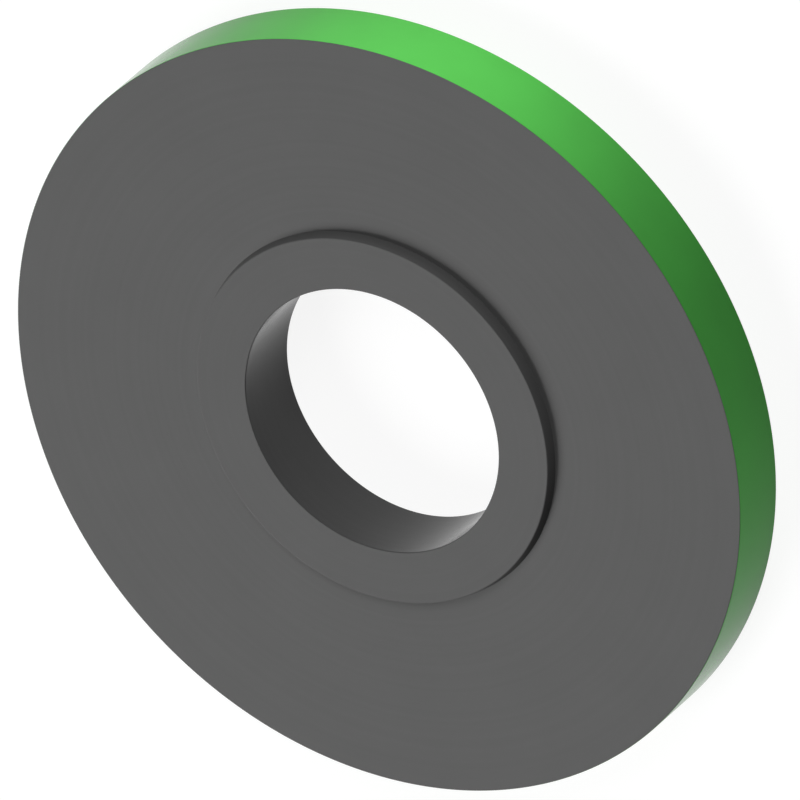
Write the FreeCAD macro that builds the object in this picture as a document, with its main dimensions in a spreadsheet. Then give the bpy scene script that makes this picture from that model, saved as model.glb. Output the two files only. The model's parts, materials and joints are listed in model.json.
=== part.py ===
"""Spacer ring: a turned, flat ring with a low raised hub round its bore, all in one piece.

It lies on its plain back face. +Z runs along the bore, out of the face with the hub, and the origin
is the bore's centre on the back face. Lengths are in millimetres and angles in degrees.
"""

import FreeCAD, Part
import Sketcher
import math
import os

# The driving dimensions of the ring, which become the cells of its sheet.
SIZES = {
    "outer_diameter": 80.0,
    "bore_diameter": 28.0,
    "rim_width": 7.0,
    # The hub's wall at its foot, measured outwards from the bore.
    "hub_wall": 5.7,
    "hub_height": 1.04,
    # How far the hub's side leans in from upright.
    "hub_draft": 15.0,
    # The small bevel that takes the burr off each outer corner.
    "edge_break": 0.1,
}

# Two edges count as the same one within this distance.
PLACE_TOLERANCE = 1e-4


def add_size_sheet(doc):
    """Writes each driving dimension to its own named cell."""
    sheet = doc.addObject("Spreadsheet::Sheet", "Sizes")
    for row, (name, value) in enumerate(SIZES.items(), start=1):
        sheet.set(f"A{row}", name)
        sheet.set(f"B{row}", str(value))
        sheet.setAlias(f"B{row}", name)
    doc.recompute()
    return sheet


def section_corners(sheet):
    """Works out the corners of the ring's half section, each as its radius and its height.

    They run from the bore outwards along the back face, up the rim, inwards along the front face, up
    the hub's leaning side and inwards over its top, which the bore then closes.
    """
    bore_radius = sheet.bore_diameter / 2
    outer_radius = sheet.outer_diameter / 2
    hub_foot_radius = bore_radius + sheet.hub_wall
    hub_lean = sheet.hub_height * math.tan(math.radians(sheet.hub_draft))
    hub_top = sheet.rim_width + sheet.hub_height
    return {
        "bore_back": (bore_radius, 0),
        "rim_back": (outer_radius, 0),
        "rim_front": (outer_radius, sheet.rim_width),
        "hub_foot": (hub_foot_radius, sheet.rim_width),
        "hub_rim": (hub_foot_radius - hub_lean, hub_top),
        "bore_front": (bore_radius, hub_top),
    }


def origin_plane(body, role):
    """Finds one of the body's own origin planes."""
    return next(feature for feature in body.Origin.OriginFeatures if feature.Role == role)


def add_section(body, corners):
    """Draws the closed half section on the plane through the bore's axis and ties it to the sheet."""
    section = body.newObject("Sketcher::SketchObject", "RingSection")
    section.AttachmentSupport = [(origin_plane(body, "XZ_Plane"), "")]
    section.MapMode = "FlatFace"

    places = [FreeCAD.Vector(radius, height, 0) for radius, height in corners.values()]
    for place, next_place in zip(places, places[1:] + places[:1]):
        section.addGeometry(Part.LineSegment(place, next_place), False)
    back_face, rim, front_face, hub_side, hub_top, bore = range(len(places))
    start, end = 1, 2
    # The sketch's own horizontal axis, whose start is the sketch's origin.
    axis = -1

    def rule(*words):
        """Adds one rule to the section and returns its number."""
        return section.addConstraint(Sketcher.Constraint(*words))

    def dimension(name, expression, *words):
        """Adds one dimension to the section, with its value from the sheet."""
        section.renameConstraint(rule(*words), name)
        section.setExpression(f"Constraints.{name}", expression)

    for line in range(len(places)):
        rule("Coincident", line, end, (line + 1) % len(places), start)
    for line in (back_face, front_face, hub_top):
        rule("Horizontal", line)
    for line in (rim, bore):
        rule("Vertical", line)
    rule("PointOnObject", back_face, start, axis)

    (bore_radius, _), (outer_radius, _) = corners["bore_back"], corners["rim_back"]
    hub_foot_radius, rim_width = corners["hub_foot"]
    _, top = corners["hub_rim"]
    dimension("bore_radius", "Sizes.bore_diameter / 2",
              "DistanceX", axis, start, back_face, start, bore_radius)
    dimension("outer_radius", "Sizes.outer_diameter / 2",
              "DistanceX", axis, start, rim, start, outer_radius)
    dimension("rim_width", "Sizes.rim_width",
              "DistanceY", rim, start, rim, end, rim_width)
    dimension("hub_wall", "Sizes.hub_wall",
              "DistanceX", back_face, start, hub_side, start, hub_foot_radius - bore_radius)
    dimension("hub_height", "Sizes.hub_height",
              "DistanceY", hub_side, start, hub_side, end, top - rim_width)
    hub_slope = places[hub_top] - places[hub_side]
    dimension("hub_slope", "90 + Sizes.hub_draft",
              "Angle", hub_side, math.atan2(hub_slope.y, hub_slope.x))
    return section


def turn(body, section):
    """Turns the section a full round about the bore's axis."""
    ring = body.newObject("PartDesign::Revolution", "TurnedRing")
    ring.Profile = section
    ring.ReferenceAxis = (section, ["V_Axis"])
    ring.Angle = 360
    body.Document.recompute()
    return ring


def round_edge(shape, radius, height):
    """Names the round edge that has that radius and lies at that height."""
    for number, edge in enumerate(shape.Edges, start=1):
        if not isinstance(edge.Curve, Part.Circle):
            continue
        off = (edge.Curve.Radius - radius, edge.Curve.Center.z - height)
        if math.hypot(*off) < PLACE_TOLERANCE:
            return f"Edge{number}"
    raise RuntimeError(f"the turned ring has no edge of radius {radius:g} at height {height:g}")


def break_edges(body, ring, corners):
    """Bevels each outer corner of the ring. The inside corner at the hub's foot stays sharp."""
    outer = [corner for name, corner in corners.items() if name != "hub_foot"]
    bevels = body.newObject("PartDesign::Chamfer", "EdgeBreaks")
    bevels.Base = (ring, [round_edge(ring.Shape, *corner) for corner in outer])
    bevels.setExpression("Size", "Sizes.edge_break")


def add_spacer_ring(doc, sheet):
    """Makes the whole ring: its section turned round the bore, with the edges broken."""
    body = doc.addObject("PartDesign::Body", "SpacerRing")
    body.Label = "spacer_ring"
    corners = section_corners(sheet)
    ring = turn(body, add_section(body, corners))
    break_edges(body, ring, corners)
    doc.recompute()
    return body


def check_document(doc, body):
    """Stops before anything is written if a feature failed or the ring isn't one whole solid."""
    for feature in doc.Objects:
        if "Invalid" in feature.State or "Error" in feature.State:
            raise RuntimeError(f"{feature.Label} failed: {feature.State}")
    shape = body.Shape
    if shape.isNull() or not shape.isValid() or len(shape.Solids) != 1:
        raise RuntimeError(f"{body.Label} is not one valid solid")


def main():
    """Builds the document, checks it and writes the ring's file."""
    doc = FreeCAD.newDocument("SpacerRing")
    ring = add_spacer_ring(doc, add_size_sheet(doc))
    check_document(doc, ring)
    os.makedirs("parts", exist_ok=True)
    ring.Shape.exportStep(f"parts/{ring.Label}.step")
    box = ring.Shape.BoundBox
    print(f"{ring.Label}: {box.XLength:.3f} x {box.YLength:.3f} x {box.ZLength:.3f} mm, "
          f"lowest at {box.ZMin:.3f}, volume {ring.Shape.Volume:.1f} mm3")


main()
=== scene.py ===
"""The looks of a turned spacer ring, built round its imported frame.

The ring lies on its back face with its hub up, in metres. Its mesh is turned up from one circle, as on a
lathe: out along the back face, up the rim, in over the front face, up the hub and down the bore. The
faces and the hub have a dark satin finish, the bore's wall is ground and mirrors a little more, and the
rim has a coat of green lacquer.
"""

import json
import logging
import math
from dataclasses import dataclass
from enum import Enum

import bpy
import bmesh
from mathutils import Matrix, Vector

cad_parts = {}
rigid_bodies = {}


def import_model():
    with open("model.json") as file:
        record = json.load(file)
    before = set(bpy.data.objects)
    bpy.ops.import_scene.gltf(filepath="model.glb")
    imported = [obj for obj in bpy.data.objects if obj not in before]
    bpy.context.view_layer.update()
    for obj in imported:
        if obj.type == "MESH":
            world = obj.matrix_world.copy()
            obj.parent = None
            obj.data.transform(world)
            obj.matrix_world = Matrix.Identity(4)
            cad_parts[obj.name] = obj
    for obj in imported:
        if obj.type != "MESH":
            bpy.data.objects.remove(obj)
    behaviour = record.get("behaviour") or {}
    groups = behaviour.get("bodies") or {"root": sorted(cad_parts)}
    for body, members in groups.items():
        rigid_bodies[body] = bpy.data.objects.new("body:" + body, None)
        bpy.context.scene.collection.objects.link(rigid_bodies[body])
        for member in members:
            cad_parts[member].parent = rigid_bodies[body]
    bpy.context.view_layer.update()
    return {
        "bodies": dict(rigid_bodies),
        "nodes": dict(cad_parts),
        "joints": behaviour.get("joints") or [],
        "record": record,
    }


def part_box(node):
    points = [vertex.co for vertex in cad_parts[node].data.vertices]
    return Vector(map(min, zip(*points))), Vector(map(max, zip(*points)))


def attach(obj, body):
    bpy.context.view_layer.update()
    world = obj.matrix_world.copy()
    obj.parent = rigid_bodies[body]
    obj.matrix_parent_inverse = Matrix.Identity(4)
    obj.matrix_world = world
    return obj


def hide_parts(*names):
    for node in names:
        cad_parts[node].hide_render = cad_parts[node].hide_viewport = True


LOG = logging.getLogger("spacer_ring")

MM = 0.001

# Two places on the section count as the same one within this distance.
PLACE_TOLERANCE = 0.01 * MM

# A noise goes from 0 to 1, and most of it lies between these two values.
NOISE_LOW = 0.3
NOISE_HIGH = 0.7

WHITE = (1, 1, 1, 1)

# As a specular tint, black takes away what a surface mirrors straight on, and leaves what it mirrors at
# a shallow angle.
ONLY_ASLANT = (0, 0, 0, 1)


class Finish(Enum):
    """The finishes of the ring, by their place among its material slots."""

    STEEL = 0
    LACQUER = 1
    GROUND = 2


class NodeTree:
    """A short way to lay out and join the nodes of one material or world."""

    def __init__(self, owner: bpy.types.Material | bpy.types.World) -> None:
        """Empties the owner's nodes.

        Args:
            owner: The material or world whose nodes are laid out.
        """
        owner.use_nodes = True
        self.tree = owner.node_tree
        self.tree.nodes.clear()

    def add(self, kind: str, dimensions: str = "", **inputs: object) -> bpy.types.Node:
        """Adds one node and sets its inputs.

        Args:
            kind: The node's type, such as ShaderNodeBump.
            dimensions: For a noise, the number of dimensions that it varies in.
            inputs: Values by input name with underscores for spaces, or sockets to join to that input.

        Returns:
            The new node.
        """
        node = self.tree.nodes.new(kind)
        if dimensions:
            node.noise_dimensions = dimensions
        for name, value in inputs.items():
            self.feed(node.inputs[name.replace("_", " ")], value)
        return node

    def feed(self, socket: bpy.types.NodeSocket, value: object) -> None:
        """Joins another node's output to the socket, or gives the socket a value of its own.

        Args:
            socket: The input that is fed.
            value: The output to join to it, or its value.
        """
        if isinstance(value, bpy.types.NodeSocket):
            self.tree.links.new(value, socket)
        else:
            socket.default_value = value

    def math(self, operation: str, *values: object) -> bpy.types.NodeSocket:
        """Adds one sum.

        Args:
            operation: The sum's name, such as MULTIPLY.
            values: One number or socket for each of its inputs.

        Returns:
            The socket with the result.
        """
        node = self.tree.nodes.new("ShaderNodeMath")
        node.operation = operation
        for socket, value in zip(node.inputs, values):
            self.feed(socket, value)
        return node.outputs[0]

    def noise(self, place: bpy.types.NodeSocket, size: float, detail: float) -> bpy.types.NodeSocket:
        """Adds a soft noise in three dimensions, whose spots lie about the given size apart."""
        return self.add("ShaderNodeTexNoise", Vector=place, Scale=1 / size, Detail=detail).outputs[0]

    def blend(
        self, first: bpy.types.NodeSocket, second: bpy.types.NodeSocket, share: float
    ) -> bpy.types.NodeSocket:
        """Mixes two patterns, with the given share of the first one."""
        mine = self.math("MULTIPLY", first, share)
        return self.math("MULTIPLY_ADD", second, 1 - share, mine)

    def spread(self, pattern: bpy.types.NodeSocket, low: float, high: float) -> bpy.types.NodeSocket:
        """Stretches the middle of a pattern, where most of it lies.

        Args:
            pattern: The socket with the pattern.
            low: The value that it gets where the pattern is low.
            high: The value that it gets where the pattern is high.

        Returns:
            The socket with the stretched pattern.
        """
        ramp = self.add(
            "ShaderNodeMapRange",
            Value=pattern,
            From_Min=NOISE_LOW,
            From_Max=NOISE_HIGH,
            To_Min=low,
            To_Max=high,
        )
        return ramp.outputs[0]

    def shades(
        self,
        pattern: bpy.types.NodeSocket,
        dark: tuple[float, float, float],
        light: tuple[float, float, float],
    ) -> bpy.types.NodeSocket:
        """Turns a pattern into a colour.

        Args:
            pattern: The socket with the pattern.
            dark: The colour where the pattern is low.
            light: The colour where it is high.

        Returns:
            The socket with the colour.
        """
        mix = self.tree.nodes.new("ShaderNodeMix")
        mix.data_type = "RGBA"
        # The node has sockets for every kind of data under the same names. These are the colour's.
        factor, first, second = mix.inputs[0], mix.inputs[6], mix.inputs[7]
        self.feed(factor, self.spread(pattern, 0.0, 1.0))
        self.feed(first, (*dark, 1))
        self.feed(second, (*light, 1))
        return mix.outputs[2]

    def relief(self, pattern: bpy.types.NodeSocket, depth: float) -> bpy.types.NodeSocket:
        """Tilts the surface as if the pattern raised it by up to the given depth."""
        return self.add("ShaderNodeBump", Height=pattern, Distance=depth).outputs[0]


@dataclass(frozen=True)
class SatinSteel:
    """Dark satin steel, with the fine round marks of the lathe's tool under its thin dark coat."""

    name: str = "dark_satin_steel"
    light_grey: float = 0.107
    dark_grey: float = 0.099
    roughness: tuple[float, float] = (0.14, 0.22)
    index: float = 1.15
    mark_pitch: float = 0.8 * MM
    mark_depth: float = 0.004 * MM
    mark_detail: float = 4.0
    mark_unevenness: float = 0.65
    cloud_size: float = 9 * MM
    cloud_detail: float = 3.0
    # How far the marks change the tone and the gloss. The clouds change them by the rest.
    marks_in_tone: float = 0.5
    marks_in_gloss: float = 0.7

    def material(self) -> bpy.types.Material:
        """Makes the material.

        Returns:
            The new material.
        """
        material = bpy.data.materials.new(self.name)
        nodes = NodeTree(material)
        place = nodes.add("ShaderNodeTexCoord").outputs["Object"]
        marks = self.tool_marks(nodes, place)
        clouds = nodes.noise(place, self.cloud_size, self.cloud_detail)
        tone = nodes.blend(marks, clouds, self.marks_in_tone)
        dull = nodes.blend(marks, clouds, self.marks_in_gloss)
        shader = nodes.add(
            "ShaderNodeBsdfPrincipled",
            Base_Color=nodes.shades(tone, (self.dark_grey,) * 3, (self.light_grey,) * 3),
            Roughness=nodes.spread(dull, *self.roughness),
            IOR=self.index,
            Specular_Tint=ONLY_ASLANT,
            Normal=nodes.relief(marks, self.mark_depth),
        )
        nodes.add("ShaderNodeOutputMaterial", Surface=shader.outputs[0])
        return material

    def tool_marks(self, nodes: NodeTree, place: bpy.types.NodeSocket) -> bpy.types.NodeSocket:
        """Draws rings round the bore's axis on the flat faces, and turns along the bore's wall.

        Args:
            nodes: The material's nodes.
            place: The socket with the place on the ring.

        Returns:
            A socket from 0 to 1 that changes from mark to mark.
        """
        parts = nodes.add("ShaderNodeSeparateXYZ", Vector=place)
        squares = [nodes.math("MULTIPLY", parts.outputs[axis], parts.outputs[axis]) for axis in "XY"]
        radius = nodes.math("SQRT", nodes.math("ADD", *squares))
        # On a flat face only the radius changes, and on the bore's wall only the height.
        along_section = nodes.math("ADD", radius, parts.outputs["Z"])
        marks = nodes.add(
            "ShaderNodeTexNoise",
            dimensions="1D",
            W=along_section,
            Scale=1 / self.mark_pitch,
            Detail=self.mark_detail,
            Roughness=self.mark_unevenness,
        )
        return marks.outputs[0]


@dataclass(frozen=True)
class GroundSteel(SatinSteel):
    """The same steel where it is ground, as in the bore, so that it mirrors a little more."""

    name: str = "ground_steel"
    index: float = 1.3


@dataclass(frozen=True)
class GreenLacquer:
    """The green lacquer on the rim, with the faint waves and dull spots of a sprayed coat."""

    name: str = "green_lacquer"
    light_green: tuple[float, float, float] = (0.066, 0.36, 0.058)
    deep_green: tuple[float, float, float] = (0.063, 0.34, 0.055)
    roughness: tuple[float, float] = (0.12, 0.2)
    index: float = 1.15
    wave_size: float = 1.3 * MM
    wave_depth: float = 0.006 * MM
    wave_detail: float = 1.0
    cloud_size: float = 7 * MM
    cloud_detail: float = 3.0

    def material(self) -> bpy.types.Material:
        """Makes the material.

        Returns:
            The new material.
        """
        material = bpy.data.materials.new(self.name)
        nodes = NodeTree(material)
        place = nodes.add("ShaderNodeTexCoord").outputs["Object"]
        waves = nodes.noise(place, self.wave_size, self.wave_detail)
        clouds = nodes.noise(place, self.cloud_size, self.cloud_detail)
        shader = nodes.add(
            "ShaderNodeBsdfPrincipled",
            Base_Color=nodes.shades(clouds, self.deep_green, self.light_green),
            Roughness=nodes.spread(clouds, *self.roughness),
            IOR=self.index,
            Specular_Tint=ONLY_ASLANT,
            Normal=nodes.relief(waves, self.wave_depth),
        )
        nodes.add("ShaderNodeOutputMaterial", Surface=shader.outputs[0])
        return material


@dataclass
class SpacerRing:
    """The ring itself: its sizes, its mesh and its finishes."""

    outer_radius: float
    bore_radius: float
    rim_width: float
    height: float
    hub_wall: float = 5.7 * MM
    hub_draft: float = math.radians(15)
    edge_break: float = 0.1 * MM
    facets: int = 512
    bevel_steps: int = 4
    # A wall's finish goes as far round a broken edge as this turn away from the wall.
    finish_reach: float = math.radians(45)
    # Surfaces that meet at less than this angle are shaded as one.
    smooth_angle: float = math.radians(40)
    # How far the large faces outweigh the small ones in the shading, from 1 to 100.
    large_face_weight: int = 100

    @classmethod
    def from_frame(cls, frame: dict) -> "SpacerRing":
        """Reads the sizes that the frame gives.

        Args:
            frame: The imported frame, as loaded.

        Returns:
            A ring with the frame's outer size, bore, rim width and height.
        """
        low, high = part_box("spacer_ring")
        mounts = {mount["name"]: mount for mount in frame["record"]["mounts"]}
        return cls(
            outer_radius=(high.x - low.x) / 2,
            bore_radius=mounts["bore"]["dims"]["r_mm"] * MM,
            rim_width=mounts["front_face"]["pos_m"][2],
            height=high.z,
        )

    def corners(self) -> dict[str, tuple[float, float]]:
        """Works out the section's corners.

        Returns:
            Each corner's radius and height by its name, from the bore's lower edge outwards and round.
        """
        hub_foot = self.bore_radius + self.hub_wall
        hub_height = self.height - self.rim_width
        hub_rim = hub_foot - hub_height * math.tan(self.hub_draft)
        return {
            "bore_back": (self.bore_radius, 0.0),
            "rim_back": (self.outer_radius, 0.0),
            "rim_front": (self.outer_radius, self.rim_width),
            "hub_foot": (hub_foot, self.rim_width),
            "hub_rim": (hub_rim, self.height),
            "bore_front": (self.bore_radius, self.height),
        }

    def build(self) -> bpy.types.Object:
        """Turns the ring up from one circle.

        Returns:
            The ring's object, with its place in its mesh.
        """
        corners = list(self.corners().values())
        bpy.ops.object.select_all(action="DESELECT")
        bpy.ops.mesh.primitive_circle_add(
            vertices=self.facets, radius=self.bore_radius, fill_type="NOTHING"
        )
        piece = bpy.context.object
        piece.name = "turned_ring"
        bpy.ops.object.mode_set(mode="EDIT")
        bpy.ops.mesh.select_mode(type="EDGE")
        bpy.ops.mesh.select_all(action="SELECT")
        for (radius, height), (next_radius, next_height) in zip(corners, corners[1:] + corners[:1]):
            rise = next_height - height
            growth = next_radius / radius
            bpy.ops.mesh.extrude_region_move(TRANSFORM_OT_translate={"value": (0, 0, rise)})
            bpy.ops.transform.resize(value=(growth, growth, 1), center_override=(0, 0, next_height))
        bpy.ops.mesh.select_all(action="SELECT")
        bpy.ops.mesh.remove_doubles(threshold=PLACE_TOLERANCE)
        bpy.ops.mesh.normals_make_consistent(inside=False)
        self.break_edges(piece)
        self.dress(piece)
        bpy.ops.object.mode_set(mode="OBJECT")
        self.smooth(piece)
        return piece

    def break_edges(self, piece: bpy.types.Object) -> None:
        """Rounds the burr off every outer corner, and leaves the inside corner at the hub's foot.

        Args:
            piece: The ring, in edit mode.
        """
        outer = [corner for name, corner in self.corners().items() if name != "hub_foot"]
        bpy.ops.mesh.select_all(action="DESELECT")
        mesh = bmesh.from_edit_mesh(piece.data)
        for edge in mesh.edges:
            places = [(vertex.co.xy.length, vertex.co.z) for vertex in edge.verts]
            edge.select_set(any(
                all(math.dist(place, corner) < PLACE_TOLERANCE for place in places) for corner in outer
            ))
        bmesh.update_edit_mesh(piece.data)
        bpy.ops.mesh.bevel(
            offset=self.edge_break, offset_type="OFFSET", segments=self.bevel_steps, affect="EDGES"
        )

    def dress(self, piece: bpy.types.Object) -> None:
        """Gives the ring its finishes, and the rim and the bore's wall their own ones.

        Args:
            piece: The ring, in edit mode.
        """
        makers = {
            Finish.STEEL: SatinSteel(),
            Finish.LACQUER: GreenLacquer(),
            Finish.GROUND: GroundSteel(),
        }
        for finish in Finish:
            piece.data.materials.append(makers[finish].material())
        bpy.ops.mesh.select_mode(type="FACE")
        self.finish_wall(piece, Finish.LACQUER, self.outer_radius, side=1)
        self.finish_wall(piece, Finish.GROUND, self.bore_radius, side=-1)

    def finish_wall(self, piece: bpy.types.Object, finish: Finish, radius: float, side: int) -> None:
        """Gives one round wall its own slot, up to the middle of its two broken edges.

        Args:
            piece: The ring, in edit mode.
            finish: The wall's finish.
            radius: The wall's radius.
            side: 1 for a wall that faces outwards, and -1 for one that faces the axis.
        """
        bpy.ops.mesh.select_all(action="DESELECT")
        mesh = bmesh.from_edit_mesh(piece.data)
        for face in mesh.faces:
            middle = face.calc_center_median()
            outwards = Vector((middle.x, middle.y, 0)).normalized()
            near_wall = abs(middle.xy.length - radius) < self.edge_break
            faces_as_wall = side * face.normal.dot(outwards) > math.cos(self.finish_reach)
            face.select_set(near_wall and faces_as_wall)
        bmesh.update_edit_mesh(piece.data)
        piece.active_material_index = finish.value
        bpy.ops.object.material_slot_assign()

    def smooth(self, piece: bpy.types.Object) -> None:
        """Shades the round surfaces smooth and keeps the flat ones flat.

        Args:
            piece: The ring, in object mode.
        """
        bpy.ops.object.shade_smooth_by_angle(angle=self.smooth_angle)
        flats = piece.modifiers.new("flats", "WEIGHTED_NORMAL")
        flats.keep_sharp = True
        flats.weight = self.large_face_weight
        bpy.ops.object.modifier_apply(modifier=flats.name)


def direction(azimuth: float, elevation: float = 0.0) -> Vector:
    """Points away from the ring, at an angle in degrees from the front and one above the floor."""
    turn, rise = math.radians(azimuth), math.radians(elevation)
    return Vector((math.sin(turn) * math.cos(rise), -math.cos(turn) * math.cos(rise), math.sin(rise)))


def hang(light: bpy.types.Light, towards: Vector, distance: float = 0.0, height: float = 0.0) -> None:
    """Adds a lamp that shines back along the direction in which it stands.

    Args:
        light: The lamp's data.
        towards: The direction from the ring to the lamp.
        distance: How far the lamp stands from the axis, in metres. A lamp far off needs none.
        height: How high it stands over the floor, in metres.
    """
    lamp = bpy.data.objects.new(light.name, light)
    lamp.location = towards * distance + Vector((0, 0, height))
    lamp.rotation_mode = "QUATERNION"
    lamp.rotation_quaternion = towards.to_track_quat("Z", "Y")
    bpy.context.scene.collection.objects.link(lamp)


@dataclass(frozen=True)
class Softbox:
    """One soft lamp far off: where it stands and how wide it looks, in degrees, and how strong it is."""

    name: str
    azimuth: float
    elevation: float
    width: float
    strength: float

    def place(self) -> None:
        """Adds the lamp to the scene."""
        light = bpy.data.lights.new(self.name, "SUN")
        light.energy = self.strength
        light.angle = math.radians(self.width)
        hang(light, direction(self.azimuth, self.elevation))


@dataclass(frozen=True)
class StripLamp:
    """A small strip lamp by the floor, lower than the ring's front face, so that it lights only the rim."""

    name: str
    azimuth: float
    brightness: float
    distance: float = 75 * MM
    length: float = 36 * MM
    height: float = 6 * MM
    # How high the strip's middle is over the floor.
    stand: float = 3.5 * MM

    def place(self) -> None:
        """Adds the lamp to the scene."""
        light = bpy.data.lights.new(self.name, "AREA")
        light.shape = "RECTANGLE"
        light.size = self.length
        light.size_y = self.height
        light.energy = self.brightness * math.pi * self.length * self.height
        hang(light, direction(self.azimuth), self.distance, self.stand)


@dataclass(frozen=True)
class Studio:
    """The pale floor, the white that is seen behind it, and the lamps."""

    lamps: tuple[Softbox | StripLamp, ...] = (
        Softbox("back", azimuth=180, elevation=36, width=30, strength=3.15),
        Softbox("front", azimuth=32, elevation=40, width=36, strength=1.38),
        StripLamp("rim_strip", azimuth=35.5, brightness=24.5),
        StripLamp("rim_fill", azimuth=-58, brightness=4.7),
    )
    floor_size: float = 8.0
    # How much of the lamps' light the floor throws back at the ring.
    floor_albedo: float = 0.4
    # What is seen of the floor: a white glow, and over it a grey that the ring's shadow darkens.
    floor_glow: float = 0.895
    floor_shadow: float = 0.15
    # How far the floor lies under the ring's back face, so that the two don't fall together.
    floor_gap: float = 0.02 * MM

    def build(self) -> None:
        """Makes the lamps, the world and the floor."""
        for lamp in self.lamps:
            lamp.place()
        self.whiten_world()
        self.lay_floor()

    def seen(self, nodes: NodeTree) -> bpy.types.NodeSocket:
        """Tells what is looked at, mirrored or seen through from what only sheds light.

        Args:
            nodes: The nodes of the material or world that asks.

        Returns:
            A socket that is 1 for camera, glossy and transmission rays and 0 for the rest.
        """
        path = nodes.add("ShaderNodeLightPath")
        glossy = nodes.math("MAXIMUM", path.outputs["Is Camera Ray"], path.outputs["Is Glossy Ray"])
        return nodes.math("MAXIMUM", glossy, path.outputs["Is Transmission Ray"])

    def whiten_world(self) -> None:
        """Shows white behind the floor and in reflections, and leaves all the lighting to the lamps."""
        world = bpy.data.worlds.new("studio")
        nodes = NodeTree(world)
        white = nodes.add("ShaderNodeBackground", Color=WHITE, Strength=self.seen(nodes))
        nodes.add("ShaderNodeOutputWorld", Surface=white.outputs[0])
        bpy.context.scene.world = world

    def lay_floor(self) -> None:
        """Lays a white floor that keeps the ring's shadow and throws little light back at it."""
        bpy.ops.object.select_all(action="DESELECT")
        bpy.ops.mesh.primitive_plane_add(size=self.floor_size, location=(0, 0, -self.floor_gap))
        floor = bpy.context.object
        floor.name = "floor"
        material = bpy.data.materials.new("pale_floor")
        nodes = NodeTree(material)
        dull = nodes.add("ShaderNodeBsdfDiffuse", Color=(self.floor_albedo,) * 3 + (1,))
        shade = nodes.add("ShaderNodeBsdfDiffuse", Color=(self.floor_shadow,) * 3 + (1,))
        glow = nodes.add("ShaderNodeEmission", Color=WHITE, Strength=self.floor_glow)
        white = nodes.add("ShaderNodeAddShader")
        nodes.feed(white.inputs[0], shade.outputs[0])
        nodes.feed(white.inputs[1], glow.outputs[0])
        mix = nodes.add("ShaderNodeMixShader", Fac=self.seen(nodes))
        nodes.feed(mix.inputs[1], dull.outputs[0])
        nodes.feed(mix.inputs[2], white.outputs[0])
        nodes.add("ShaderNodeOutputMaterial", Surface=mix.outputs[0])
        floor.data.materials.append(material)


@dataclass(frozen=True)
class PhotographView:
    """The photograph's view of the ring: nearly parallel, and turned about the line of sight.

    The front face's outline is an ellipse there, and the pixels are the photograph's own.
    """

    frame_px: float = 800.0
    outer_diameter_px: float = 834.74
    face_centre_px: tuple[float, float] = (377.05, 416.55)
    # The ellipse's short axis over its long one, which is the cosine of the view's tilt.
    face_ratio: float = 0.75
    roll: float = math.radians(-130.893)
    lens_mm: float = 1600.0
    sensor_mm: float = 36.0

    def place(self, ring: SpacerRing) -> bpy.types.Object:
        """Adds the camera and makes it the scene's own.

        Args:
            ring: The ring that the camera looks at.

        Returns:
            The camera's object.
        """
        tilt = math.acos(self.face_ratio)
        back = Vector((0, -math.sin(tilt), math.cos(tilt)))
        level_right = Vector((1, 0, 0))
        level_up = back.cross(level_right)
        right = level_right * math.cos(self.roll) + level_up * math.sin(self.roll)
        up = back.cross(right)
        pixel = 2 * ring.outer_radius / self.outer_diameter_px
        aside = (self.frame_px / 2 - self.face_centre_px[0]) * pixel
        above = (self.face_centre_px[1] - self.frame_px / 2) * pixel
        target = Vector((0, 0, ring.rim_width)) + right * aside + up * above
        distance = self.frame_px * pixel * self.lens_mm / self.sensor_mm

        data = bpy.data.cameras.new("photograph")
        data.lens = self.lens_mm
        data.sensor_width = self.sensor_mm
        data.clip_end = 2 * distance
        camera = bpy.data.objects.new("photograph", data)
        camera.matrix_world = Matrix((
            (right.x, up.x, back.x, 0),
            (right.y, up.y, back.y, 0),
            (right.z, up.z, back.z, 0),
            (0, 0, 0, 1),
        ))
        camera.location = target + back * distance
        bpy.context.scene.collection.objects.link(camera)
        bpy.context.scene.camera = camera
        return camera


def main() -> None:
    """Builds the ring, its studio and its camera."""
    logging.basicConfig(level=logging.INFO, format="%(message)s")
    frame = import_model()

    ring = SpacerRing.from_frame(frame)
    piece = ring.build()
    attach(piece, "root")
    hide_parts("spacer_ring")
    LOG.info("%s: %d faces", piece.name, len(piece.data.polygons))

    Studio().build()
    PhotographView().place(ring)
    bpy.context.scene.view_settings.view_transform = "Standard"


if __name__ == "__main__":
    main()
